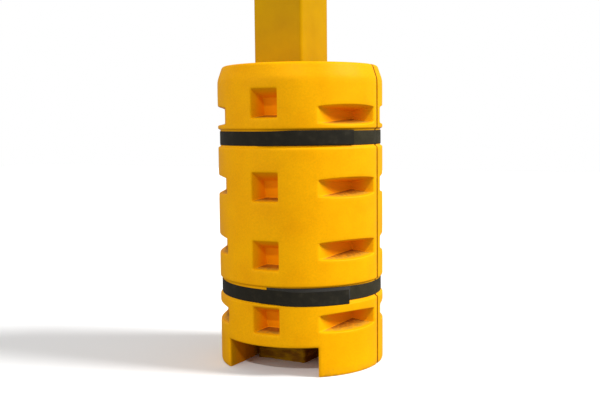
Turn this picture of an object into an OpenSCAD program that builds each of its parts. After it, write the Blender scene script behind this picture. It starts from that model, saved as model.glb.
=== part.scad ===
// Column guard: two hollow moulded half shells that close around a square
// steel post and are held by two hook-and-loop straps in grooves.
// Millimetres, +Z up. Origin: on the floor, on the guard's round axis.
// The halves meet on the plane y = 0; the front half faces -Y.

/* [Guard] */
// Outside diameter of the closed guard
guard_d = 610; // [560:1:740]
// Height of the guard
guard_h = 1090; // [900:1:1320]
// Wall thickness of the moulded shell
wall = 5; // [3:0.5:8]
// Gap between the two halves at the seam
seam_gap = 0.6; // [0.2:0.1:2]
// Radial inset of the sloped top band
top_inset = 14; // [6:1:24]
// Height of the sloped top band
top_band_h = 38; // [20:1:60]
// Radius of the rounded top rim
top_round = 16; // [8:1:24]
// Bevel around the foot
foot_bevel = 3; // [1:0.5:8]

/* [Cavity and tunnel] */
// Inside width of the square cavity for the post
cavity_w = 330; // [280:1:360]
// Corner radius of the cavity
cavity_r = 20; // [13:1:40]
// Height of the tunnel through each foot
tunnel_h = 105; // [60:1:130]
// How far each side of the tunnel flares out at its mouth
tunnel_flare = 20; // [4:1:30]

/* [Square pockets] */
// Width of a square pocket at its mouth
square_w = 98; // [70:1:120]
// Height of a square pocket at its mouth
square_h = 98; // [70:1:110]
// Depth of a square pocket from the round face
square_depth = 72; // [40:1:85]
// Inset of each side wall at the back
square_side_inset = 20; // [5:1:30]
// Drop of the ceiling at the back
square_ceiling_drop = 28; // [10:1:35]
// Rise of the floor at the back
square_floor_rise = 8; // [2:1:15]

/* [Wide pockets] */
// Chord width of a wide pocket at its mouth
wide_w = 250; // [180:1:260]
// Height of a wide pocket at its two ends
wide_h = 57; // [40:1:70]
// Angle from the middle of a half to the middle of a wide pocket
wide_angle = 59.5; // [55:0.5:60]
// Depth of the pocket's inner corner behind its mouth chord
wide_depth = 63; // [30:1:70]
// How far the inner corner lies along the chord, as a share of the chord
wide_corner_share = 0.79; // [0.5:0.01:0.85]
// Drop of the ceiling at the inner corner
wide_ceiling_drop = 17; // [5:1:20]
// Rise of the floor at the inner corner
wide_floor_rise = 13; // [5:1:16]

/* [Straps] */
// Width of a strap
strap_w = 50; // [30:1:56]
// Thickness of the strap webbing
strap_t = 2.2; // [1.5:0.1:3]
// Thickness of a hook or loop pad
pad_t = 1.2; // [0.8:0.1:1.5]
// Running gap between layers, and between strap and groove
layer_gap = 0.3; // [0.2:0.05:0.5]
// Width of a strap groove at the round face
groove_w = 68; // [64:1:80]
// Depth of a strap groove
groove_d = 9; // [8:0.5:12]
// Height of a groove's sloped side
groove_flank = 4; // [2:0.5:8]
// Height of the lower groove's middle above the floor
lower_groove_z = 285; // [270:1:300]
// Distance of the upper groove's middle below the guard's top
upper_groove_drop = 261; // [240:1:300]
// Angle that the strap's free end runs past the middle of the front half
overlap_angle = 57; // [30:1:70]

/* [Post] */
// Outside width of the square post
post_w = 203; // [150:1:220]
// Wall thickness of the post
post_wall = 8; // [5:0.5:12]
// Outside corner radius of the post
post_corner = 12; // [8:1:20]
// Height of the post
post_h = 1500; // [1350:1:1800]
// Thickness of the cap plate
cap_t = 6; // [4:1:12]
// Offset of the post from the guard's axis, left
post_off_x = -37; // [-40:1:40]
// Offset of the post from the guard's axis, back
post_off_y = 9; // [-30:1:30]
// Turn of the post inside the guard, in degrees
post_turn = -5; // [-8:0.5:8]

/* [Vent plugs] */
// Diameter of a vent plug's stem
plug_d = 20; // [10:1:30]
// Diameter of a vent plug's head
plug_head_d = 30; // [18:1:42]
// Thickness of a vent plug's head
plug_head_t = 2.5; // [1.5:0.5:4]
// Radial clearance of the stem in its hole
plug_fit = 0.1; // [0.05:0.05:0.3]

/* [Hidden] */
$fn = 96;
guard_r = guard_d / 2;
half_cavity = cavity_w / 2;
upper_groove_z = guard_h - upper_groove_drop;
slope_z = guard_h - top_round - top_band_h;
clear = 60;                      // how far a cutter runs past the outside

// Rows of square pockets, from the floor up. The lowest hangs a thin rib below
// the lower groove, two share the band between the grooves, and the highest is
// in the middle of the band above the upper groove.
rib = 4;
between = upper_groove_z - lower_groove_z - groove_w;
above_lower = lower_groove_z + groove_w / 2;
square_z = [
    lower_groove_z - groove_w / 2 - rib - square_h / 2,
    above_lower + 0.22 * between,
    above_lower + 0.72 * between,
    (upper_groove_z + groove_w / 2 + slope_z) / 2
];
// Each wide pocket's middle lies this far above its row's square pocket
wide_shift = [-11, 16, -4, -41];

// Strap layers, from the groove floor outwards
web_r = guard_r - groove_d + layer_gap;
loop_r = web_r + strap_t;
hook_r = loop_r + pad_t + layer_gap;
tail_r = hook_r + pad_t;
ramp_start = -7;                 // where the left arm starts to climb, degrees
ramp_end = -1;                   // where it is out on the tail's radius
tail_hinge = 2.5;                // where the free end starts to peel, degrees
fold = strap_t / 2;              // a fold's axis is in the middle of the webbing
knuckle = fold - 0.1;            // rounded end of a strap length at its fold

// ---- The post ----

module rounded_square(w, r) {
    side = w - 2 * r;
    square([w, side], center = true);
    square([side, w], center = true);
    for (x = [-1, 1], y = [-1, 1])
        translate([x * side / 2, y * side / 2]) circle(r);
}

module at_post() {
    translate([post_off_x, post_off_y, 0]) rotate(post_turn) children();
}

module post_tube() {
    color("gold") at_post()
        linear_extrude(post_h - cap_t) difference() {
            rounded_square(post_w, post_corner);
            rounded_square(post_w - 2 * post_wall, post_corner - post_wall / 2);
        }
}

module post_cap() {
    color("gold") at_post() translate([0, 0, post_h - cap_t])
        linear_extrude(cap_t) rounded_square(post_w, post_corner);
}

// ---- The guard's half shells ----

// Section of a strap groove, pulled in by the wall for the hollow inside
function groove_points(z, inner) = let (
    r = guard_r - inner,
    mouth = groove_w / 2 + inner / 2,
    floor_half = groove_w / 2 - groove_flank + inner / 2
) [
    [r, z - mouth], [r - groove_d, z - floor_half],
    [r - groove_d, z + floor_half], [r, z + mouth]
];

function rim_points(inner) = let (
    r = top_round - min(inner, top_round - 1),
    centre_r = guard_r - top_inset - top_round,
    centre_z = guard_h - top_round
) [for (a = [0 : 15 : 90]) [centre_r + r * cos(a), centre_z + r * sin(a)]];

// Round outline of the closed guard, turned about the Z axis
module guard_outline(inner = 0) {
    bevel = foot_bevel;
    rotate_extrude() polygon(concat(
        [[0, inner], [guard_r - inner - bevel, inner], [guard_r - inner, inner + bevel]],
        groove_points(lower_groove_z, inner),
        groove_points(upper_groove_z, inner),
        [[guard_r - inner, slope_z]],
        rim_points(inner),
        [[0, guard_h - inner]]
    ));
}

module cavity(grow = 0) {
    w = cavity_w + 2 * grow;
    translate([0, 0, -1]) linear_extrude(guard_h + 2) rounded_square(w, cavity_r);
}

// The tunnel leaves the cavity at its own width and flares to its mouth
module tunnel(grow = 0) {
    w = half_cavity + grow;
    out = guard_r + clear;
    flare = tunnel_flare * (out - half_cavity) / (guard_r - half_cavity);
    translate([0, 0, -1]) linear_extrude(tunnel_h + grow + 1)
        polygon([
            [-w, 0], [-w, -half_cavity], [-w - flare, -out],
            [w + flare, -out], [w, -half_cavity], [w, 0]
        ]);
}

// A prism with sloped sides: its plan outline cut by its side outline, so that
// every wall is one true plane. Both outlines run inwards along +Y.
module pocket_cut(plan, side) {
    intersection() {
        translate([0, 0, -guard_h]) linear_extrude(2 * guard_h) polygon(plan);
        translate([-guard_d, 0, 0]) rotate([90, 0, 90])
            linear_extrude(2 * guard_d) polygon(side);
    }
}

module square_pocket(grow = 0) {
    back = -guard_r + square_depth + grow;
    mouth = -guard_r;
    out = mouth - clear;
    half_w = square_w / 2 + grow;
    half_h = square_h / 2 + grow;
    side_slope = square_side_inset / square_depth;
    ceiling_slope = square_ceiling_drop / square_depth;
    floor_slope = square_floor_rise / square_depth;
    plan = [
        [-half_w - side_slope * clear, out], [half_w + side_slope * clear, out],
        [half_w - side_slope * (back - mouth), back],
        [-half_w + side_slope * (back - mouth), back]
    ];
    side = [
        [out, -half_h - floor_slope * clear],
        [back + 6, -half_h + floor_slope * (back - mouth)],
        [back - 7, half_h - ceiling_slope * (back - mouth)],
        [out, half_h + ceiling_slope * clear]
    ];
    pocket_cut(plan, side);
}

// A wide pocket is turned so that its mouth chord lies along X. Its two back
// walls meet in an inner corner that lies well towards the seam.
module wide_pocket(grow = 0) {
    half_w = wide_w / 2;
    chord_y = -sqrt(guard_r * guard_r - half_w * half_w);
    corner_x = half_w * (2 * wide_corner_share - 1);
    corner_y = chord_y + wide_depth;
    out = -guard_r - clear;
    long_wall = norm([corner_x + half_w, wide_depth]);
    short_wall = norm([half_w - corner_x, wide_depth]);
    long_shift = grow * long_wall / wide_depth;
    short_shift = grow * short_wall / wide_depth;
    ceiling_slope = wide_ceiling_drop / wide_depth;
    floor_slope = wide_floor_rise / wide_depth;
    corner_out = grow * wide_w / (long_wall + short_wall - wide_w / 2);
    plan = [
        [-half_w - long_shift, chord_y], [-half_w - long_shift, out],
        [half_w + short_shift, out], [half_w + short_shift, chord_y],
        [corner_x, corner_y + corner_out]
    ];
    half_h = wide_h / 2 + grow;
    deep = wide_depth + corner_out + 1;
    side = [
        [out, -half_h - floor_slope * (chord_y - out)],
        [chord_y + deep, -half_h + floor_slope * deep],
        [chord_y + deep, half_h - ceiling_slope * deep],
        [out, half_h + ceiling_slope * (chord_y - out)]
    ];
    pocket_cut(plan, side);
}

module pockets(grow = 0) {
    for (row = [0 : 3]) {
        translate([0, 0, square_z[row]]) square_pocket(grow);
        translate([0, 0, square_z[row] + wide_shift[row]]) {
            rotate(wide_angle) wide_pocket(grow);
            mirror([1, 0, 0]) rotate(wide_angle) wide_pocket(grow);
        }
    }
}

// Everything of a half on the -Y side of a plane
module front_of(y) {
    intersection() {
        children();
        translate([-guard_d, -guard_d + y, -1]) cube([2 * guard_d, guard_d, guard_h + 2]);
    }
}

module half_skin(inner, seam) {
    difference() {
        front_of(-seam) guard_outline(inner);
        cavity(inner);
        tunnel(inner);
        pockets(inner);
    }
}

plug_y = -half_cavity;
plug_z = (square_z[1] + square_z[2]) / 2;

module guard_half() {
    difference() {
        half_skin(0, seam_gap / 2);
        half_skin(wall, seam_gap / 2 + wall);
        translate([0, plug_y + 1, plug_z]) rotate([90, 0, 0])
            cylinder(h = wall + 2, d = plug_d + 2 * plug_fit);
    }
}

module guard_half_front() { color("orange") guard_half(); }

module guard_half_rear() { color("orange") rotate(180) guard_half(); }

module vent_plug() {
    color("goldenrod") translate([0, plug_y, plug_z]) rotate([90, 0, 0]) {
        translate([0, 0, -plug_head_t]) cylinder(h = plug_head_t, d = plug_head_d);
        cylinder(h = wall, d = plug_d);
    }
}

module vent_plug_front() { vent_plug(); }

module vent_plug_rear() { rotate(180) vent_plug(); }

// ---- The straps ----

// Angles are counted from the middle of the front half towards +X
module band(r, t, w, from, to) {
    rotate(from - 90) rotate_extrude(angle = to - from)
        translate([r, -w / 2]) square([t, w]);
}

// A point on the circle of radius r, at the same angle
function on_circle(r, a) = [r * sin(a), -r * cos(a)];

// Angle that a distance takes up on the circle of radius r
function arc_of(distance, r) = distance / r * 180 / PI;

module fold_end(r, a, w) {
    translate(on_circle(r + fold, a)) cylinder(h = w, r = knuckle, center = true);
}

fold_gap = fold + layer_gap;

// Length behind the rear half, from seam to seam
module strap_back() {
    stop = arc_of(fold_gap, web_r);
    band(web_r, strap_t, strap_w, 90 + stop, 270 - stop);
}

// Inner layer: from the right seam to the middle of the front half
module strap_right_arm() {
    band(web_r, strap_t, strap_w, 0, 90);
    fold_end(web_r, 90, strap_w);
}

// Smooth climb from 0 to 1 between two angles
function climb(a) = let (
    s = min(1, max(0, (a - ramp_start) / (ramp_end - ramp_start)))
) s * s * (3 - 2 * s);

// A strip whose inner face lies at the given radii, one for each angle
module strip(angles, radii, w, t = strap_t) {
    last = len(angles) - 1;
    inside = [for (i = [0 : last]) on_circle(radii[i], angles[i])];
    outside = [for (i = [last : -1 : 0]) on_circle(radii[i] + t, angles[i])];
    linear_extrude(w, center = true) polygon(concat(inside, outside));
}

strip_step = 2.5;                // flat steps of a strip, in degrees
ramp_step = 0.75;

// Outer layer: from the left seam to the middle, climbing over the inner one
module strap_left_arm() {
    stop = tail_hinge - arc_of(fold_gap, tail_r);
    angles = concat(
        [for (a = [-90 : strip_step : ramp_start - 1]) a],
        [for (a = [ramp_start : ramp_step : stop - 0.2]) a],
        [stop]
    );
    strip(angles, [for (a = angles) web_r + (tail_r - web_r) * climb(a)], strap_w);
    fold_end(web_r, -90, strap_w);
}

// Free end that peels off, from its fold to its tip
tip = tail_hinge + overlap_angle;
flats = [for (a = [tail_hinge : strip_step : tip - 0.5]) a];

module strap_tail() {
    angles = concat(flats, [tip]);
    strip(angles, [for (a = angles) tail_r], strap_w);
    fold_end(tail_r, tail_hinge, strap_w);
}

pad_margin = 1.5;                // a pad stops this far short of the strap's edges

module loop_pad() {
    band(loop_r, pad_t, strap_w - 2 * pad_margin, 1, tip);
}

// Sewn to the tail, so it has the same flats
module hook_pad() {
    angles = [for (i = [1 : len(flats) - 1]) flats[i]];
    strip(angles, [for (a = angles) hook_r], strap_w - 2 * pad_margin, pad_t);
}

module lower() { translate([0, 0, lower_groove_z]) children(); }

module upper() { translate([0, 0, upper_groove_z]) children(); }

module webbing() { color("#2c2a24") children(); }

module pad() { color("#46423a") children(); }

module lower_strap_back() { webbing() lower() strap_back(); }
module lower_strap_right_arm() { webbing() lower() strap_right_arm(); }
module lower_strap_left_arm() { webbing() lower() strap_left_arm(); }
module lower_strap_tail() { webbing() lower() strap_tail(); }
module lower_loop_pad() { pad() lower() loop_pad(); }
module lower_hook_pad() { pad() lower() hook_pad(); }
module upper_strap_back() { webbing() upper() strap_back(); }
module upper_strap_right_arm() { webbing() upper() strap_right_arm(); }
module upper_strap_left_arm() { webbing() upper() strap_left_arm(); }
module upper_strap_tail() { webbing() upper() strap_tail(); }
module upper_loop_pad() { pad() upper() loop_pad(); }
module upper_hook_pad() { pad() upper() hook_pad(); }

post_tube();
post_cap();
guard_half_front();
guard_half_rear();
vent_plug_front();
vent_plug_rear();
lower_strap_back();
lower_strap_right_arm();
lower_strap_left_arm();
lower_strap_tail();
lower_loop_pad();
lower_hook_pad();
upper_strap_back();
upper_strap_right_arm();
upper_strap_left_arm();
upper_strap_tail();
upper_loop_pad();
upper_hook_pad();
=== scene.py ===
# %% [markdown]
# The frame
#
# The imported construction model is loaded first. Each of its solids comes in at its true place, in metres, standing on
# z = 0, with the guard's round axis on the Z axis. Everything made below is measured in that same space.

# %% Load the frame
import math

import bmesh
import bpy
from mathutils import Matrix, Vector


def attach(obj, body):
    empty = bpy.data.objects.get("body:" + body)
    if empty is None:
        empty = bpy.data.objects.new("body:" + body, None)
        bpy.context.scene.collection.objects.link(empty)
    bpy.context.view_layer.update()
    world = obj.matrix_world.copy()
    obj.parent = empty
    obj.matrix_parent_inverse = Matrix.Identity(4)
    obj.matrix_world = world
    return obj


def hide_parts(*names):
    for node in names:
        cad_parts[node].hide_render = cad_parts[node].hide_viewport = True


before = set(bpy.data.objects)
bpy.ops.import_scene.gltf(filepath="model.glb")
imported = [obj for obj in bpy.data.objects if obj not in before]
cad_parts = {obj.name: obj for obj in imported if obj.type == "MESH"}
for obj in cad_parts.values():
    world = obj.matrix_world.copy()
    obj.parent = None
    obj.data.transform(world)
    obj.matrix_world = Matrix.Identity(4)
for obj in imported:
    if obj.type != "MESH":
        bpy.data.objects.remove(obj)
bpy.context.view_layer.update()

# %% [markdown]
# The camera
#
# The camera stands 3.25 m from the guard's axis, a little to the right of its front, with its lens at 0.88 m, below the
# guard's top. It looks five degrees down and leans half a degree. Its axes are worked out from those angles and set as
# a matrix, because a matrix says exactly where the frame's edges fall, and a tracking constraint can't lean.

# %% Camera
camera_distance = 3.2507
camera_round = math.radians(24.67)
camera_height = 0.8839
camera_yaw = math.radians(0.06)
camera_pitch = math.radians(5.11)
camera_lean = math.radians(-0.56)

heading = camera_round + camera_yaw
ahead = Vector((-math.sin(heading) * math.cos(camera_pitch),
                math.cos(heading) * math.cos(camera_pitch), -math.sin(camera_pitch)))
level = Vector((math.cos(heading), math.sin(heading), 0))
upward = level.cross(ahead)
right = level * math.cos(camera_lean) + upward * math.sin(camera_lean)
up = upward * math.cos(camera_lean) - level * math.sin(camera_lean)

bpy.ops.object.camera_add()
camera = bpy.context.object
camera.name = "camera"
camera.data.lens = 52.14
camera.data.sensor_width = 36
place = (camera_distance * math.sin(camera_round), -camera_distance * math.cos(camera_round), camera_height)
camera.matrix_world = Matrix([[right[i], up[i], -ahead[i], place[i]] for i in range(3)] + [[0, 0, 0, 1]])
bpy.context.scene.camera = camera
print("camera at", [round(v, 3) for v in place])

# %% [markdown]
# Working tools
#
# Three small helpers stand in for what a hand does between operators: pick one object and nothing else, choose faces
# or edges by where they are, and put a finished mesh's rotation and place into its vertices.

# %% Helpers
MM = 0.001


def pick(piece):
    bpy.ops.object.select_all(action="DESELECT")
    piece.select_set(True)
    bpy.context.view_layer.objects.active = piece


def choose(piece, kind, where):
    """In edit mode, selects the verts, edges or faces for which where() is true."""
    bpy.ops.mesh.select_mode(type={"verts": "VERT", "edges": "EDGE", "faces": "FACE"}[kind])
    bpy.ops.mesh.select_all(action="DESELECT")
    bm = bmesh.from_edit_mesh(piece.data)
    for part in getattr(bm, kind):
        if where(part):
            part.select = True
    bm.select_flush_mode()
    bmesh.update_edit_mesh(piece.data)
    return sum(part.select for part in getattr(bm, kind))


def settle(piece, name):
    bpy.ops.object.mode_set(mode="OBJECT")
    pick(piece)
    bpy.ops.object.transform_apply(location=True, rotation=True, scale=True)
    piece.name = piece.data.name = name
    return piece


def finish_with(piece, kind, **settings):
    """Adds a modifier with its settings and applies it at once."""
    pick(piece)
    modifier = piece.modifiers.new(kind.lower(), kind)
    for key, value in settings.items():
        setattr(modifier, key, value)
    bpy.ops.object.modifier_apply(modifier=modifier.name)


def turn(x, y):
    """Degrees from the middle of the front half, positive to the right."""
    return math.degrees(math.atan2(x, -y))


# %% [markdown]
# The guard's outline
#
# A half shell is rotationally moulded polyethylene: powder melts onto the inside of a turning mould, so the outside
# has soft edges everywhere and no sharp corner. The round part is one outline turned about the Z axis. Its rows are
# laid out so that every pocket's upper and lower edge falls on a row: seventeen rows for each of the four bands of
# pockets, enough to draw a pocket's lip, ceiling, back and floor later. A line is drawn by extruding one vertex from
# the floor to the rim, and then spun in steps of two degrees.

# %% Outline of a half shell
# Sizes are in millimetres until a vertex takes them, and heights are measured from the floor.
guard_r = 305
guard_h = 1090
slope_z = 1036
foot = 3
groove_d = 9
groove_half = 34
groove_floor_half = 30
groove_mid = (285, 829)
tunnel_lip_z = 111
half_square = 49
lip = 8
lip_out = 8
band_mid = (198, 423.7, 661.7, 949.5)
band_rows = 17
wide_mid = (187, 439.7, 657.7, 908.5)


def groove_line(z):
    """One groove's rounded outline, upwards."""
    return [(guard_r, z - groove_half - 1.5), (guard_r - 0.6, z - groove_half + 0.5),
            (guard_r - groove_d + 1.5, z - groove_floor_half - 0.8), (guard_r - groove_d, z - groove_floor_half + 1.5),
            (guard_r - groove_d, z),
            (guard_r - groove_d, z + groove_floor_half - 1.5), (guard_r - groove_d + 1.5, z + groove_floor_half + 0.8),
            (guard_r - 0.6, z + groove_half - 0.5), (guard_r, z + groove_half + 1.5)]


def band_line(band):
    """Heights of a band's rows where it crosses a square pocket."""
    low = band_mid[band] - half_square - lip_out
    high = band_mid[band] + half_square + (1.5 if band == 0 else lip_out)
    inner = [low + 14 + (high - low - 28) * k / (band_rows - 3) for k in range(band_rows - 2)]
    return [low] + inner + [high]


outline = [(guard_r - foot, 0), (guard_r, foot), (guard_r, 30), (guard_r, 60), (guard_r, 97), (guard_r, tunnel_lip_z)]
band_start = []
for band in range(4):
    if band == 1:
        outline += groove_line(groove_mid[0])
        outline.append((guard_r, 345))
    if band == 2:
        outline.append((guard_r, 540))
    if band == 3:
        outline.append((guard_r, 756))
        outline += groove_line(groove_mid[1])
    band_start.append(len(outline))
    outline += [(guard_r, z) for z in band_line(band)]
outline += [(guard_r, slope_z - 6), (guard_r - 0.8, slope_z + 3), (guard_r - 13.5, 1074), (guard_r - 15.2, 1080.5),
            (guard_r - 18.5, 1086), (guard_r - 24, 1089.4), (guard_r - 31, guard_h)]

bpy.ops.object.select_all(action="DESELECT")
bpy.ops.mesh.primitive_plane_add(size=10 * MM, location=(0, 0, 0))
shell = bpy.context.object
bpy.ops.object.mode_set(mode="EDIT")
bpy.ops.mesh.merge(type="CENTER")
bpy.ops.transform.translate(value=(-outline[0][0] * MM, 0, outline[0][1] * MM))
for (r0, z0), (r1, z1) in zip(outline, outline[1:]):
    bpy.ops.mesh.extrude_region_move(TRANSFORM_OT_translate={"value": ((r0 - r1) * MM, 0, (z1 - z0) * MM)})
bpy.ops.mesh.select_all(action="SELECT")
bpy.ops.mesh.spin(steps=90, angle=math.pi, center=(0, 0, 0), axis=(0, 0, -1))
print("rows", len(outline), "vertices", len(bmesh.from_edit_mesh(shell.data).verts))

# %% [markdown]
# Rows and columns in their places
#
# The spun sheet is an even grid. Its columns are now moved onto the edges that they have to draw: the sides of the
# square pockets, the ends of the wide ones, their inner corner, the tunnel's sides, and the last three close to the
# seam, where the shell rounds over. A wide pocket is a notch with two upright walls that meet in an inner corner near
# the seam, a ceiling that slopes down and a floor that slopes up. Each column that crosses it follows the ceiling in,
# the wall down and the floor out again. So its mouth comes out arched, as a sloped plane meets a round face.

# %% Wide pockets
wide_turn = 59.5
half_chord = 125
chord_in = math.sqrt(guard_r ** 2 - half_chord ** 2)
corner_share = 0.79
wide_depth = 63
half_wide = 28.5
ceiling_slope = 17 / wide_depth
floor_slope = 13 / wide_depth
square_turn = math.degrees(math.asin((half_square + lip_out) / guard_r))
# For each column that moves, its even place and its own, in degrees from the front; then how far the last columns
# drop back from the round face, and the columns that move below the tunnel's top.
column_turn = {10: square_turn, 12: 12.8, 34: 34.75, 72: 72.35, 74: 73.25, 76: 74.15, 82: 83.3, 84: 84.25,
               86: 88.6, 88: 89.4}
seam_drop = {86: 0.4, 88: 3, 90: 12}
tunnel_turn = {36: 36.9, 38: 38.7}
# Heights of a band's rows beside a wide pocket, from its middle.
flat_rows = (-31.5, -30, -28.5, -27, -25.5, -24, -22.5, -12, 0, 12, 22.5, 24, 25.5, 27, 28.5, 30, 31.5)
first_turn = 12
pocket_from = 34.5
pocket_to = 84.5
seam_column = 90
half_gap = 0.3


def notch_row(row, x):
    """(depth behind the chord, height) of one row of a wide pocket, on the column at x along its chord."""
    share = (x + half_chord) / (2 * half_chord)
    face = chord_in - math.sqrt(guard_r ** 2 - x * x)
    wall = wide_depth * max(0, min(share / corner_share, (1 - share) / (1 - corner_share)))
    depth = max(wall - face, 0)
    soft = min(1, depth / 10)
    edge = 9 * soft
    corner = 5 * soft
    ceiling = lambda y: half_wide - ceiling_slope * y
    floor = lambda y: -half_wide + floor_slope * y
    line = [(face, floor(face) - 3), (face + 0.08 * edge, floor(face) - 0.6), (face + 0.35 * edge, floor(face) + 0.9),
            (face + edge, floor(face + edge)), ((face + wall) / 2, floor((face + wall) / 2)),
            (wall - corner, floor(wall - corner)), (wall, floor(wall)), (wall, floor(wall) + 5), (wall, -3),
            (wall, ceiling(wall) - 5), (wall, ceiling(wall)), (wall - corner, ceiling(wall - corner)),
            ((face + wall) / 2, ceiling((face + wall) / 2)), (face + edge, ceiling(face + edge)),
            (face + 0.35 * edge, ceiling(face) - 0.9), (face + 0.08 * edge, ceiling(face) + 0.6),
            (face, ceiling(face) + 3)]
    y, z = line[row]
    return face + (y - face) * soft, flat_rows[row] * (1 - soft) + z * soft


def put(vertex):
    """Moves one vertex of the even grid to its own place."""
    x, y, z = vertex.co / MM
    at = turn(x, y)
    side = -1 if at < 0 else 1
    column = 2 * round(abs(at) / 2)
    r = math.hypot(x, y)
    row = min(range(len(outline)), key=lambda k: abs(outline[k][0] - r) + abs(outline[k][1] - z))
    r, z = outline[row]
    if z > tunnel_lip_z:
        at = column_turn.get(column, column)
    else:
        at = tunnel_turn.get(column, column_turn.get(column, column)) if column >= min(tunnel_turn) else column
    r -= seam_drop.get(column, 0)
    for band, first in enumerate(band_start):
        if first <= row < first + band_rows and at > first_turn:
            x_on = guard_r * math.sin(math.radians(at - wide_turn))
            if pocket_from < at < pocket_to:
                y_in, up_z = notch_row(row - first, x_on)
                out = chord_in - y_in
                c, s = math.cos(math.radians(wide_turn)), math.sin(math.radians(wide_turn))
                vertex.co = Vector((side * (out * s + x_on * c), -out * c + x_on * s, wide_mid[band] + up_z)) * MM
                return
            share = min(1, (at - first_turn) / 22)
            z += share * (wide_mid[band] + flat_rows[row - first] - z)
    a = math.radians(at)
    y = -half_gap if column == seam_column else -r * math.cos(a)
    vertex.co = Vector((side * r * math.sin(a), y, z)) * MM


bm = bmesh.from_edit_mesh(shell.data)
for vertex in bm.verts:
    put(vertex)
bmesh.update_edit_mesh(shell.data)
bpy.ops.mesh.select_all(action="SELECT")
bpy.ops.mesh.normals_make_consistent(inside=False)
bm = bmesh.from_edit_mesh(shell.data)
outward = sum(f.normal.x * f.calc_center_median().x + f.normal.y * f.calc_center_median().y > 0 for f in bm.faces)
if outward < len(bm.faces) / 2:
    bpy.ops.mesh.flip_normals()
print("faces that point outwards:", outward, "of", len(bm.faces))

# %% [markdown]
# Square pockets and the tunnel
#
# A square pocket is pressed in as a hand would do it: its faces are inset three times, each time a little deeper, which
# draws the quarter-round lip, then extruded to just short of the back and again to the back, each time scaled to the
# size that the pocket has there. The back leans a little, so that the moulding comes off its core. The tunnel is the
# same move on the faces at the foot, carried past the cavity's wall. Each step is (y, half the width, low, high, lean).

# %% Press the pockets in
def round_lip(radius):
    """Insets the chosen faces in three steps that draw a quarter round."""
    for k in range(3):
        a, b = math.radians(30 * k), math.radians(30 * (k + 1))
        bpy.ops.mesh.inset(thickness=radius * (math.sin(b) - math.sin(a)) * MM, use_boundary=False,
                           depth=-radius * (math.cos(a) - math.cos(b)) * MM, use_even_offset=True)


def press(piece, y, half_w, low, high, lean=0):
    """Extrudes the chosen faces and fits them into a flat rectangle across Y."""
    bpy.ops.mesh.extrude_region_move(TRANSFORM_OT_translate={"value": (0, 0, 0)})
    bm = bmesh.from_edit_mesh(piece.data)
    chosen = [v for v in bm.verts if v.select]
    old_w = max(v.co.x for v in chosen) / MM
    old_low, old_high = min(v.co.z for v in chosen) / MM, max(v.co.z for v in chosen) / MM
    for v in chosen:
        z = low + (v.co.z / MM - old_low) * (high - low) / (old_high - old_low)
        v.co = Vector((v.co.x * half_w / old_w, (y - lean * (z - low) / (high - low)) * MM, z * MM))
    bmesh.update_edit_mesh(piece.data)


def face_within(face, low, high, side):
    """Whether a face's middle lies between two heights and within an angle from the front."""
    middle = face.calc_center_median()
    return low < middle.z / MM < high and abs(turn(middle.x, middle.y)) < side


square_steps = ((-236, 30.5, -41.5, 23, 11), (-230, 29, -41, 21, 13))
for band, mid in enumerate(band_mid):
    rows = band_line(band)
    count = choose(shell, "faces", lambda f: face_within(f, rows[0], rows[-1], square_turn))
    round_lip(lip)
    for y, half_w, low, high, lean in square_steps:
        press(shell, y, half_w, mid + low, mid + high, lean)
    bpy.ops.mesh.inset(thickness=4 * MM, depth=0, use_even_offset=True)
    print("square pocket", band, "pressed from", count, "faces")

# %% Press the tunnel in
tunnel_side = 36.5
tunnel_steps = ((-205, 170.5, 103), (-167, 165.6, 104), (-143, 165.4, 104))
count = choose(shell, "faces", lambda f: face_within(f, -1, tunnel_lip_z, tunnel_side))
round_lip(lip)
bm = bmesh.from_edit_mesh(shell.data)
for v in bm.verts:
    if v.is_boundary and v.co.z < 12 * MM and v.co.y < -50 * MM:
        v.co.z = 0
bmesh.update_edit_mesh(shell.data)
for y, half_w, high in tunnel_steps:
    press(shell, y, half_w, 0, high)
spare = choose(shell, "faces", lambda f: all(v.co.z < 0.8 * MM for v in f.verts))
bpy.ops.mesh.delete(type="FACE")
print("tunnel pressed from", count, "faces;", spare, "spare floor faces removed")

# %% [markdown]
# Close the half shell
#
# One level of subdivision turns the lips and corners into smooth curves; open edges keep their corners, so the outline
# at the seam stays true. Only then are the flat ends closed, because a flat many-sided face is best left as it is. A
# chord across the rim and one across the foot make three loops: the top, the foot and the seam. The square cavity for
# the post is cut by a rounded box, and the edges it leaves at the rim are bevelled.

# %% Subdivide and close
bpy.ops.object.mode_set(mode="OBJECT")
finish_with(shell, "SUBSURF", levels=1, render_levels=1, boundary_smooth="PRESERVE_CORNERS")
bpy.ops.object.mode_set(mode="EDIT")
seam_y = -half_gap * MM
near = lambda a, b: abs(a - b) < 0.05 * MM
choose(shell, "verts", lambda v: v.is_boundary and v.co.z < 2.5 * MM)
bpy.ops.transform.resize(value=(1, 1, 0), center_override=(0, 0, 0))
for z in (guard_h * MM, 0):
    choose(shell, "verts", lambda v: v.is_boundary and near(v.co.y, seam_y) and near(v.co.z, z))
    bpy.ops.mesh.edge_face_add()
for name, flat in (("top", lambda v: near(v.co.z, guard_h * MM)), ("foot", lambda v: near(v.co.z, 0)),
                   ("seam", lambda v: near(v.co.y, seam_y))):
    count = choose(shell, "edges", lambda e: len(e.link_faces) < 2 and flat(e.verts[0]) and flat(e.verts[1]))
    bpy.ops.mesh.edge_face_add()
    print(name, "closed over", count, "edges")
count = choose(shell, "edges", lambda e: len(e.link_faces) != 2)
print("edges still open:", count)
bpy.ops.object.mode_set(mode="OBJECT")

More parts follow.
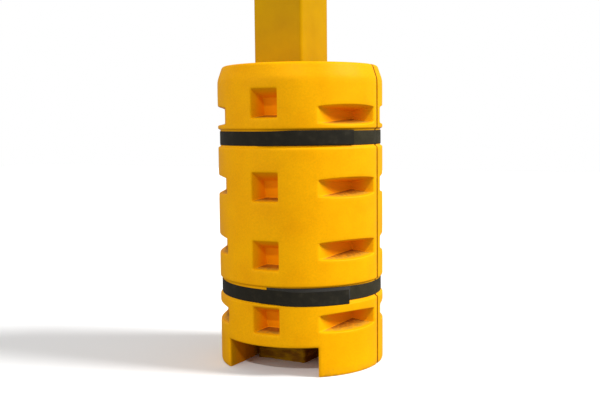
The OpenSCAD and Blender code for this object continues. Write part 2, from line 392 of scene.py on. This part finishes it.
# %% Cut the cavity
half_cavity = 165
cavity_r = 20
past = 65
bpy.ops.object.select_all(action="DESELECT")
bpy.ops.mesh.primitive_cube_add(size=1, location=(0, (past - half_cavity) / 2 * MM, guard_h / 2 * MM),
                                scale=(2 * half_cavity * MM, (half_cavity + past) * MM, (guard_h + 40) * MM))
cutter = settle(bpy.context.object, "cavity_cutter")
bpy.ops.object.mode_set(mode="EDIT")
choose(cutter, "edges", lambda e: e.verts[0].co.y < 0 and e.verts[1].co.y < 0 and e.calc_length() > guard_h * MM)
bpy.ops.mesh.bevel(offset=cavity_r * MM, segments=6, affect="EDGES")
bpy.ops.object.mode_set(mode="OBJECT")
finish_with(shell, "BOOLEAN", object=cutter, operation="DIFFERENCE", solver="EXACT")
bpy.data.objects.remove(cutter)

# %% Round the rim and weld the foot
bpy.ops.object.mode_set(mode="EDIT")
inside = lambda v: abs(v.co.x) < (half_cavity + 0.1) * MM and v.co.y > -(half_cavity + 0.1) * MM
count = choose(shell, "edges", lambda e: all(near(v.co.z, guard_h * MM) and inside(v) for v in e.verts)
               and len(e.link_faces) == 2 and e.calc_face_angle(0) > 1)
bpy.ops.mesh.bevel(offset=5 * MM, segments=3, affect="EDGES", clamp_overlap=False)
print("cavity rim bevelled on", count, "edges")
choose(shell, "verts", lambda v: near(v.co.y, seam_y) and near(v.co.z, 0))
bpy.ops.mesh.remove_doubles(threshold=0.08 * MM)
choose(shell, "verts", lambda v: v.is_boundary)
bpy.ops.mesh.fill_holes(sides=6)
count = choose(shell, "edges", lambda e: len(e.link_faces) != 2)
print("edges open at the end:", count)

# %% Shade the shell
flat_area = 0.002
front = settle(shell, "guard_shell_front")
bpy.ops.object.shade_smooth_by_angle(angle=math.radians(50))
bpy.ops.object.mode_set(mode="EDIT")
count = choose(front, "faces", lambda f: f.calc_area() > flat_area and max(abs(f.normal.y), abs(f.normal.z)) > 0.9999)
bpy.ops.mesh.faces_shade_flat()
bpy.ops.object.mode_set(mode="OBJECT")
print("flat faces shaded flat:", count)
print(front.name, len(front.data.polygons), "faces")

# %% [markdown]
# The second half
#
# Both halves come from one mould, so the rear one is a copy with its own mesh, turned half a turn about the axis.

# %% Rear half
pick(front)
bpy.ops.object.duplicate()
rear = bpy.context.object
rear.rotation_euler = (0, 0, math.pi)
settle(rear, "guard_shell_rear")
for piece, body in ((front, "front_half"), (rear, "rear_half")):
    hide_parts("guard_half_" + body[:-5])
    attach(piece, body)

# %% [markdown]
# The straps' webbing
#
# Each strap is one length of black nylon webbing, 50 mm wide and 2.2 mm thick, with a rounded selvedge. It runs round
# the back in its groove, over both seams, and its right arm goes under its left one, whose free end is the tail. Where
# it folds, at the two seams and where the tail peels, it is cut into lengths that end in a half round on the fold's
# axis, so that it stays closed as it folds. A cross-section ring is spun along the groove, each ring is then put on
# the webbing's own path, and the ends are filled. Every vertex keeps where it lies along and across the webbing as its
# UV map, in metres, which is what a weave has to follow.

# %% Webbing helper
webbing_w = 50
webbing_t = 2.2
section_points = 28


def webbing(name, start, end, path, width=webbing_w, thick=webbing_t, round_start=False, round_end=False, step=1.5):
    """A length of webbing from one angle to another.

    path(angle) gives the radius and the height of its middle, and how far its lower edge stands out."""
    rings = max(8, round((end - start) / step))
    bpy.ops.object.select_all(action="DESELECT")
    bpy.ops.mesh.primitive_circle_add(vertices=section_points, radius=1)
    piece = bpy.context.object
    bpy.ops.object.mode_set(mode="EDIT")
    bpy.ops.transform.translate(value=(300, 0, 0))
    bpy.ops.mesh.select_all(action="SELECT")
    bpy.ops.transform.rotate(value=math.radians(90), orient_axis="X", center_override=(300, 0, 0))
    bpy.ops.mesh.spin(steps=rings, angle=math.radians(90), center=(0, 0, 0), axis=(0, 0, 1))
    bm = bmesh.from_edit_mesh(piece.data)
    uv_along = {}
    for v in bm.verts:
        ring = round(abs(math.degrees(math.atan2(v.co.y, v.co.x))) / (90 / rings))
        off, up_z = math.hypot(v.co.x, v.co.y) - 300, v.co.z
        around = math.atan2(up_z, off)
        c, s = math.cos(around), math.sin(around)
        across = math.copysign(abs(s) ** 0.28, s) * width / 2
        out = math.copysign(abs(c) ** 0.5, c) * thick / 2 if abs(s) < 0.999 else 0
        end_share = 1
        angle = start + (end - start) * ring / rings
        radius = path(angle)[0]
        past = math.degrees(thick / 2 / radius)
        for rounded, edge, from_end in ((round_start, start, ring), (round_end, end, rings - ring)):
            if rounded and from_end < 4:
                beyond = (1, 0.86, 0.5, 0)[from_end]
                angle = edge + (past * beyond if edge == end else -past * beyond)
                end_share = max(math.sqrt(1 - beyond * beyond), 0.06)
        radius, height, stand = path(angle)
        out = out * end_share + radius + stand * (0.5 - across / width) ** 2
        a = math.radians(angle)
        v.co = Vector((out * math.sin(a), -out * math.cos(a), height + across)) * MM
        uv_along[v.index] = (a * radius * MM, across * MM + 0.1)
    bmesh.update_edit_mesh(piece.data)
    bpy.ops.mesh.select_all(action="SELECT")
    bpy.ops.mesh.fill_holes(sides=0)
    bpy.ops.mesh.select_all(action="SELECT")
    bpy.ops.mesh.normals_make_consistent(inside=False)
    settle(piece, name)
    uv = piece.data.uv_layers.new(name="along")
    for corner in piece.data.loops:
        uv.data[corner.index].uv = uv_along[corner.vertex_index]
    bpy.ops.object.shade_smooth_by_angle(angle=math.radians(60))
    print(name, len(piece.data.polygons), "faces")
    return piece


# %% [markdown]
# The two straps
#
# The upper strap lies level. The lower one was done up in a hurry: its right arm sits a few millimetres high, its left
# arm runs down towards the front, and its tail droops onto the lower edge of the groove, so the arm peeks out above it.
# Between the arm and the tail are the two tapes that hold them: loop pile on the arm, hooks on the tail. The tail's
# tip is hemmed, so its last centimetre stands out a little.

# %% Straps
pad_w = 46
pad_t = 1.2
clearance = 0.3
hem = 0.9
peel_turn = 2.5
groove_floor = guard_r - groove_d
web_mid = groove_floor + clearance + webbing_t / 2
loop_mid = groove_floor + clearance + webbing_t + pad_t / 2
hook_mid = loop_mid + pad_t + clearance
tail_mid = hook_mid + pad_t / 2 + webbing_t / 2


def between(value, low, high):
    """0 below low, 1 above high, and a smooth step from one to the other."""
    t = min(1, max(0, (value - low) / (high - low)))
    return t * t * (3 - 2 * t)


def strap(level, mid, arm_up, left_down, tail_down, tail_stand, tip):
    """One strap's six pieces, by how far each part of it lies from its groove's middle, and its tail's last angle."""
    arm = lambda a: (web_mid, mid + arm_up * (1 - between(a, 30, 88)), 0)
    left = lambda a: (web_mid + (tail_mid - web_mid) * between(a, -7, -1),
                      mid + left_down * between(a, -85, 0), 0)
    tail = lambda a: (tail_mid + hem * between(a, tip - 2.6, tip - 2.2),
                      mid + left_down + (tail_down - left_down) * between(a, 2, 22), tail_stand * between(a, 3, 16))
    back = lambda a: (web_mid, mid, 0)
    loops = lambda a: (loop_mid, arm(a)[1], 0)
    hooks = lambda a: (hook_mid, tail(a)[1], tail(a)[2])
    pieces = {
        "strap_back": webbing(level + "_webbing_back", 90, 270, back, round_start=True, round_end=True),
        "strap_right_arm": webbing(level + "_webbing_right_arm", 0.4, 90, arm, round_end=True),
        "strap_left_arm": webbing(level + "_webbing_left_arm", -90, peel_turn, left, round_start=True, round_end=True),
        "strap_tail": webbing(level + "_webbing_tail", peel_turn, tip, tail, round_start=True),
        "loop_pad": webbing(level + "_loop_tape", 1.2, 59, loops, pad_w, pad_t),
        "hook_pad": webbing(level + "_hook_tape", 5, 55, hooks, pad_w, pad_t),
    }
    bodies = {"strap_back": "rear_half", "strap_right_arm": level + "_right_arm", "loop_pad": level + "_right_arm",
              "strap_left_arm": level + "_left_arm", "strap_tail": level + "_tail", "hook_pad": level + "_tail"}
    for node, piece in pieces.items():
        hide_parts(level + "_" + node)
        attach(piece, bodies[node])
    return pieces


straps = {"lower": strap("lower", groove_mid[0], 3.5, -4, -9, 3.2, 57.6),
          "upper": strap("upper", groove_mid[1], 0, 0, 2.5, 0, 62.3)}
for level, pieces in straps.items():
    for node, piece in pieces.items():
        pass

# %% [markdown]
# Colours and nodes
#
# Colours are written as the hex values one reads off a screen, and one function turns them into the linear values that
# a shader works in. One more adds a node with its settings and its links, whatever its kind, so that each material
# below reads as a list of what feeds what.

# %% Material helpers
def colour(text):
    """An sRGB hex colour as linear red, green, blue and full alpha."""
    parts = [int(text[k:k + 2], 16) / 255 for k in (1, 3, 5)]
    return [p / 12.92 if p <= 0.04045 else ((p + 0.055) / 1.055) ** 2.4 for p in parts] + [1]


def node(owner, kind, links=None, stops=(), **settings):
    """Adds a node to a material or a world.

    A setting is one of the node's properties, or else an input by its name. A link goes to an input from an output,
    or from a node's first output. stops are the (position, hex colour) pairs of a colour ramp."""
    made = owner.node_tree.nodes.new("ShaderNode" + kind)
    properties = [key for key in settings if hasattr(made, key)]
    for key in properties:
        setattr(made, key, settings[key])
    for key, value in settings.items():
        if key not in properties:
            made.inputs[key.replace("_", " ")].default_value = value
    for key, source in (links or {}).items():
        output = source if isinstance(source, bpy.types.NodeSocket) else source.outputs[0]
        owner.node_tree.links.new(output, made.inputs[key])
    if stops:
        elements = made.color_ramp.elements
        while len(elements) < len(stops):
            elements.new(0.5)
        for element, (position, text) in zip(elements, stops):
            element.position = position
            element.color = colour(text)
    return made


def surface(name):
    """A new material and its shader."""
    material = bpy.data.materials.new(name)
    material.use_nodes = True
    return material, material.node_tree.nodes["Principled BSDF"]


def wear_only(material, *pieces):
    """Makes this the one material on each piece."""
    for piece in pieces:
        piece.data.materials.clear()
        piece.data.materials.append(material)
    print(material.name, "on", [piece.name for piece in pieces])


smooth = {"interpolation_type": "SMOOTHSTEP"}

# %% [markdown]
# Moulded polyethylene
#
# The guard is rotationally moulded linear polyethylene, coloured through in safety yellow. Powder that melts against a
# steel mould leaves a satin skin with a faint orange peel, and slight clouds where the pigment lies thicker. It is soft
# and low in gloss, and dust and black tyre dirt stay on whatever faces up inside a pocket. So the colour has two scales
# of clouds, a warmer tone deep in the pockets that is painted bounce light, where yellow light bounces from wall to
# wall, and masks made from place and direction that carry the dust and dirt. Deep in the pockets that dirt is also
# darkened as painted shade. The same dirt, with painted shade, draws the line between the two halves.

# %% Guard skin
plastic, shader = surface("moulded_polyethylene")
place = node(plastic, "TexCoord").outputs["Object"]
clouds = node(plastic, "TexNoise", {"Vector": place}, Scale=9.0, Detail=4.0, Roughness=0.55)
shade = node(plastic, "ValToRGB", {"Fac": clouds}, stops=[(0.3, "#f2a600"), (0.5, "#f7ad00"), (0.72, "#fbb300")])
specks = node(plastic, "TexNoise", {"Vector": place}, Scale=160.0, Detail=3.0, Roughness=0.6)
grain = node(plastic, "MapRange", {"Value": specks}, From_Min=0.3, From_Max=0.7, To_Min=0.93, To_Max=1.05)
skin = node(plastic, "VectorMath", {0: shade, 1: grain}, operation="MULTIPLY")
print("skin colours", [element.color[:3] for element in shade.color_ramp.elements])

# %% Where the skin is: how far from the axis, how high, and facing which way
axes = node(plastic, "SeparateXYZ", {"Vector": place})
flat_place = node(plastic, "CombineXYZ", {"X": axes.outputs["X"], "Y": axes.outputs["Y"]})
reach = node(plastic, "VectorMath", {0: flat_place}, operation="LENGTH").outputs["Value"]
height = axes.outputs["Z"]
facing = node(plastic, "SeparateXYZ", {"Vector": node(plastic, "NewGeometry").outputs["Normal"]})
from_seam = node(plastic, "Math", {0: axes.outputs["Y"]}, operation="ABSOLUTE")
to_seam = node(plastic, "Math", {0: facing.outputs["Y"]}, operation="ABSOLUTE")
print("guard radius", guard_r * MM, "and height", guard_h * MM)

# %% Warmer hollows
inwards = node(plastic, "MapRange", {"Value": reach}, From_Min=0.292, From_Max=0.25, **smooth)
below_rim = node(plastic, "MapRange", {"Value": height}, From_Min=1.06, From_Max=1.04, **smooth)
hollow = node(plastic, "Math", {0: inwards, 1: below_rim}, operation="MULTIPLY")
skin = node(plastic, "MixRGB", {"Fac": hollow, "Color1": skin}, Color2=colour("#ff9b00"))
print("hollows tinted")

# %% Dirt and painted shade in the seam
dirt_and_shade_cloud = node(plastic, "TexNoise", {"Vector": place}, Scale=55.0, Detail=6.0, Roughness=0.7)
# The dark line along the seam is partly dirt, partly painted shade of the gap between the halves.
seam_line = node(plastic, "MapRange", {"Value": from_seam}, From_Min=0.0095, From_Max=0.0035, **smooth)
seam_cloud = node(plastic, "MapRange", {"Value": dirt_and_shade_cloud}, From_Min=0.2, From_Max=0.6, To_Min=0.6, To_Max=0.95,
                  **smooth)
not_seam_face = node(plastic, "MapRange", {"Value": to_seam}, From_Min=0.995, From_Max=0.97, **smooth)
seam_dirt_and_shade = node(plastic, "Math", {0: seam_line, 1: seam_cloud}, operation="MULTIPLY")
seam_dirt_and_shade = node(plastic, "Math", {0: seam_dirt_and_shade, 1: not_seam_face}, operation="MULTIPLY")
skin = node(plastic, "MixRGB", {"Fac": seam_dirt_and_shade, "Color1": skin}, Color2=colour("#8a4a04"))
print("seam line drawn")

# %% Dust on ledges, and dirt with painted shade deep in the pockets
upward = node(plastic, "MapRange", {"Value": facing.outputs["Z"]}, From_Min=0.55, From_Max=0.85, **smooth)
behind_face = node(plastic, "MapRange", {"Value": reach}, From_Min=0.299, From_Max=0.282, **smooth)
off_the_top = node(plastic, "MapRange", {"Value": height}, From_Min=1.075, From_Max=1.06, **smooth)
ledge = node(plastic, "Math", {0: upward, 1: behind_face}, operation="MULTIPLY")
ledge = node(plastic, "Math", {0: ledge, 1: off_the_top}, operation="MULTIPLY")
dust_cloud = node(plastic, "MapRange", {"Value": dirt_and_shade_cloud}, From_Min=0.35, From_Max=0.62, To_Min=0.35, To_Max=0.9,
                  **smooth)
dust = node(plastic, "Math", {0: ledge, 1: dust_cloud}, operation="MULTIPLY")
skin = node(plastic, "MixRGB", {"Fac": dust, "Color1": skin}, Color2=colour("#b08a30"))
# Deep in the pockets the upward faces turn dark brown: partly dirt, partly painted shade.
far_in = node(plastic, "MapRange", {"Value": reach}, From_Min=0.285, From_Max=0.26, **smooth)
deep_cloud = node(plastic, "MapRange", {"Value": dirt_and_shade_cloud}, From_Min=0.3, From_Max=0.6, To_Min=0.55, To_Max=0.95,
                  **smooth)
deep_dirt_and_shade = node(plastic, "Math", {0: ledge, 1: far_in}, operation="MULTIPLY")
deep_dirt_and_shade = node(plastic, "Math", {0: deep_dirt_and_shade, 1: deep_cloud}, operation="MULTIPLY")
skin = node(plastic, "MixRGB", {"Fac": deep_dirt_and_shade, "Color1": skin}, Color2=colour("#945611"))
print("ledges dusted")

# %% Splashes at the foot
near_floor = node(plastic, "MapRange", {"Value": height}, From_Min=0.035, From_Max=0.0, **smooth)
splash_cloud = node(plastic, "MapRange", {"Value": dirt_and_shade_cloud}, From_Min=0.42, From_Max=0.66, To_Max=0.3, **smooth)
splash = node(plastic, "Math", {0: near_floor, 1: splash_cloud}, operation="MULTIPLY")
skin = node(plastic, "MixRGB", {"Fac": splash, "Color1": skin}, Color2=colour("#8c6a34"))
plastic.node_tree.links.new(skin.outputs[0], shader.inputs["Base Color"])
print("base colour linked")

# %% Satin and orange peel
satin = node(plastic, "MapRange", {"Value": clouds}, From_Min=0.3, From_Max=0.7, To_Min=0.44, To_Max=0.56, **smooth)
plastic.node_tree.links.new(satin.outputs[0], shader.inputs["Roughness"])
shader.inputs["Specular IOR Level"].default_value = 0.05
shader.inputs["IOR"].default_value = 1.5
# The peel's bumps are 3 mm across, and the mould's own waves 70 mm.
peel = node(plastic, "TexNoise", {"Vector": place}, Scale=320.0, Detail=2.0)
sway = node(plastic, "TexNoise", {"Vector": place}, Scale=14.0, Detail=2.0)
waves = node(plastic, "Bump", {"Height": sway}, Strength=0.35, Distance=0.002)
relief = node(plastic, "Bump", {"Height": peel, "Normal": waves}, Strength=0.25, Distance=0.0004)
plastic.node_tree.links.new(relief.outputs[0], shader.inputs["Normal"])
wear_only(plastic, front, rear)

# %% [markdown]
# Painted steel
#
# The post is square steel tube, brushed with yellow enamel that has been touched up more than once. Brushed enamel has
# long faint vertical strokes. The foot, seen through the guard's tunnel, is darkened brown in level stripes: painted
# shade, with some stain. One noise stretched along Z draws the strokes, and one stretched across it draws the stripes.

# %% Post paint
paint, shader = surface("brushed_enamel_on_steel")
place = node(paint, "TexCoord").outputs["Object"]
patches = node(paint, "TexNoise", {"Vector": place}, Scale=6.0, Detail=5.0, Roughness=0.6)
coat = node(paint, "ValToRGB", {"Fac": patches}, stops=[(0.3, "#c08e00"), (0.55, "#c99700"), (0.75, "#d09e00")])
gloss = node(paint, "MapRange", {"Value": patches}, From_Min=0.3, From_Max=0.7, To_Min=0.34, To_Max=0.46, **smooth)
paint.node_tree.links.new(gloss.outputs[0], shader.inputs["Roughness"])
shader.inputs["Specular IOR Level"].default_value = 0.04

# %% Painted shade at the foot, and strokes
height = node(paint, "SeparateXYZ", {"Vector": place}).outputs["Z"]
level_stripes_place = node(paint, "Mapping", {"Vector": place}, Scale=(0.25, 0.25, 1.0))
level_stripes = node(paint, "TexNoise", {"Vector": level_stripes_place}, Scale=60.0, Detail=5.0, Roughness=0.65)
# The foot is darkened brown in level stripes: painted shade, with some stain.
near_foot = node(paint, "MapRange", {"Value": height}, From_Min=0.16, From_Max=0.06, **smooth)
marks = node(paint, "MapRange", {"Value": level_stripes}, From_Min=0.35, From_Max=0.62, To_Min=0.35, To_Max=0.92, **smooth)
foot_shade_and_stain = node(paint, "Math", {0: near_foot, 1: marks}, operation="MULTIPLY")
coat = node(paint, "MixRGB", {"Fac": foot_shade_and_stain, "Color1": coat}, Color2=colour("#7a4812"))
paint.node_tree.links.new(coat.outputs[0], shader.inputs["Base Color"])
stroke_place = node(paint, "Mapping", {"Vector": place}, Scale=(1.0, 1.0, 0.06))
strokes = node(paint, "TexNoise", {"Vector": stroke_place}, Scale=220.0, Detail=3.0, Roughness=0.6)
relief = node(paint, "Bump", {"Height": strokes}, Strength=0.3, Distance=0.0005)
paint.node_tree.links.new(relief.outputs[0], shader.inputs["Normal"])
wear_only(paint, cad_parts["post_tube"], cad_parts["post_cap"])

# %% [markdown]
# Vent plugs
#
# A hollow moulding breathes through a small hole while it cools, which a push-in plug closes afterwards. The plug is
# injection moulded from harder polyethylene, so it is a little glossier than the shell and shows faint flow marks.

# %% Vent plug plastic
plug, shader = surface("injection_moulded_polyethylene")
place = node(plug, "TexCoord").outputs["Object"]
flow = node(plug, "TexNoise", {"Vector": place}, Scale=60.0, Detail=3.0)
tone = node(plug, "ValToRGB", {"Fac": flow}, stops=[(0.35, "#d99a00"), (0.65, "#e6a908")])
plug.node_tree.links.new(tone.outputs[0], shader.inputs["Base Color"])
shader.inputs["Roughness"].default_value = 0.38
relief = node(plug, "Bump", {"Height": flow}, Strength=0.2, Distance=0.0005)
plug.node_tree.links.new(relief.outputs[0], shader.inputs["Normal"])
wear_only(plug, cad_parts["vent_plug_front"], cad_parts["vent_plug_rear"])

# %% [markdown]
# Nylon webbing
#
# Webbing is woven flat from thick nylon yarn. Its face shows ribs across its width, each split by the warp ends that
# run along it. The rows follow the UV map, which is in metres. Nylon yarn is dull. Each strap's back and right arm are
# a shade paler than its left arm and tail.

# %% Webbing material
# A wave texture repeats every 0.31416 / Scale metres.
wave_unit = 0.31416
rib = 0.004
end = 0.0036


def woven(name, shades):
    """Nylon webbing in one shade. Ribs and ends are twice as far apart as real ones, so that they show."""
    nylon, shader = surface(name)
    along = node(nylon, "UVMap", uv_map="along")
    ribs = node(nylon, "TexWave", {"Vector": along}, wave_type="BANDS", bands_direction="X", wave_profile="SIN",
                Scale=wave_unit / rib, Distortion=0.6, Detail=2.0).outputs["Fac"]
    ends = node(nylon, "TexWave", {"Vector": along}, wave_type="BANDS", bands_direction="Y", wave_profile="SIN",
                Scale=wave_unit / end, Distortion=0.3, Detail=1.0).outputs["Fac"]
    weave = node(nylon, "Math", {0: ribs, 1: ends}, operation="MULTIPLY")
    wear = node(nylon, "TexNoise", {"Vector": along}, Scale=28.0, Detail=5.0, Roughness=0.65)
    dye = node(nylon, "ValToRGB", {"Fac": wear}, stops=shades)
    thread = node(nylon, "ValToRGB", {"Fac": weave}, stops=[(0.0, "#a8a8a8"), (0.6, "#ffffff")])
    cloth = node(nylon, "MixRGB", {"Color1": dye, "Color2": thread}, blend_type="MULTIPLY", Fac=1.0)
    nylon.node_tree.links.new(cloth.outputs[0], shader.inputs["Base Color"])
    shader.inputs["Roughness"].default_value = 0.72
    shader.inputs["Specular IOR Level"].default_value = 0.12
    shader.inputs["Sheen Weight"].default_value = 0.03
    shader.inputs["Sheen Roughness"].default_value = 0.5
    relief = node(nylon, "Bump", {"Height": weave}, Strength=0.7, Distance=0.0008)
    nylon.node_tree.links.new(relief.outputs[0], shader.inputs["Normal"])
    return nylon


black = woven("black_nylon_webbing", [(0.3, "#26231a"), (0.55, "#2e2a1e"), (0.8, "#433e31")])
pale = woven("pale_nylon_webbing", [(0.3, "#37321f"), (0.55, "#413c28"), (0.8, "#565038")])
# The back and right arm get the paler shade, the left arm and tail the darker one.
for pieces in straps.values():
    wear_only(pale, pieces["strap_back"], pieces["strap_right_arm"])
    wear_only(black, pieces["strap_left_arm"], pieces["strap_tail"])

# %% [markdown]
# Hook-and-loop tape
#
# The tapes that hold a strap shut are a knitted pile of loops and a field of cut hooks. From arm's length both look
# dull and deep black with fine grey tufts, so one material with tufts 1.4 mm apart serves for both.

# %% Hook-and-loop material
pile, shader = surface("hook_and_loop_tape")
along = node(pile, "UVMap", uv_map="along")
tufts = node(pile, "TexVoronoi", {"Vector": along}, Scale=700.0)
tone = node(pile, "ValToRGB", {"Fac": tufts}, stops=[(0.0, "#3c3932"), (0.7, "#1c1a17")])
pile.node_tree.links.new(tone.outputs[0], shader.inputs["Base Color"])
shader.inputs["Roughness"].default_value = 0.9
shader.inputs["Sheen Weight"].default_value = 0.3
relief = node(pile, "Bump", {"Height": tufts}, Strength=0.9, Distance=0.0008)
pile.node_tree.links.new(relief.outputs[0], shader.inputs["Normal"])
for pieces in straps.values():
    wear_only(pile, pieces["loop_pad"], pieces["hook_pad"])

# %% [markdown]
# Floor and world
#
# A plain studio: a floor that keeps the object's shadow, and an even world. The object gets a moderate light from both,
# so that its colours come out as they are written, and what the camera sees directly is white. The light path tells
# the camera's own rays from the rest.

# %% Floor
bpy.ops.object.select_all(action="DESELECT")
bpy.ops.mesh.primitive_plane_add(size=24, location=(0, 0, -0.0006))
floor = bpy.context.object
floor.name = "floor"
floor_white, shader = surface("matt_white_floor")
seen = node(floor_white, "LightPath").outputs["Is Camera Ray"]
floor_tone = node(floor_white, "MixRGB", {"Fac": seen}, Color1=colour("#8c8c8c"), Color2=colour("#fbfbfb"))
floor_white.node_tree.links.new(floor_tone.outputs[0], shader.inputs["Base Color"])
shader.inputs["Roughness"].default_value = 0.9
shader.inputs["Specular IOR Level"].default_value = 0.0
floor.data.materials.append(floor_white)
print("floor", [round(v, 1) for v in floor.dimensions])

# %% World
world = bpy.data.worlds.new("studio")
bpy.context.scene.world = world
world.use_nodes = True
plain = world.node_tree.nodes["Background"]
plain.inputs["Color"].default_value = colour("#ffffff")
plain.inputs["Strength"].default_value = 0.43
white = node(world, "Background", Color=colour("#ffffff"), Strength=1.0)
seen = node(world, "LightPath").outputs["Is Camera Ray"]
mix = node(world, "MixShader", {0: seen, 1: plain, 2: white})
world.node_tree.links.new(mix.outputs[0], world.node_tree.nodes["World Output"].inputs["Surface"])
print("world strength", plain.inputs["Strength"].default_value)

# %% [markdown]
# Lamps
#
# Three lamps as far off as the sun: a small one high in front that draws the pockets' shadows, a wide soft one low on
# the left, and a broad one on the right, which makes that side the brightest.

# %% Lamps
def lamp(name, round_deg, up_deg, strength, softness):
    """A sun lamp, from this far round to the right of the front and this far above the floor."""
    bpy.ops.object.light_add(type="SUN")
    made = bpy.context.object
    made.name = name
    a, e = math.radians(round_deg), math.radians(up_deg)
    towards = Vector((math.sin(a) * math.cos(e), -math.cos(a) * math.cos(e), math.sin(e)))
    made.rotation_euler = towards.to_track_quat("Z", "Y").to_euler()
    made.data.energy = strength * math.pi
    made.data.angle = math.radians(softness)
    print(name, "from", [round(v, 2) for v in towards])


lamp("key", 15.6, 41, 0.3, 1.5)
lamp("left_fill", -32, 12, 0.27, 50)
lamp("right_fill", 103, 38, 1.15, 18)
bpy.context.scene.view_settings.view_transform = "Standard"
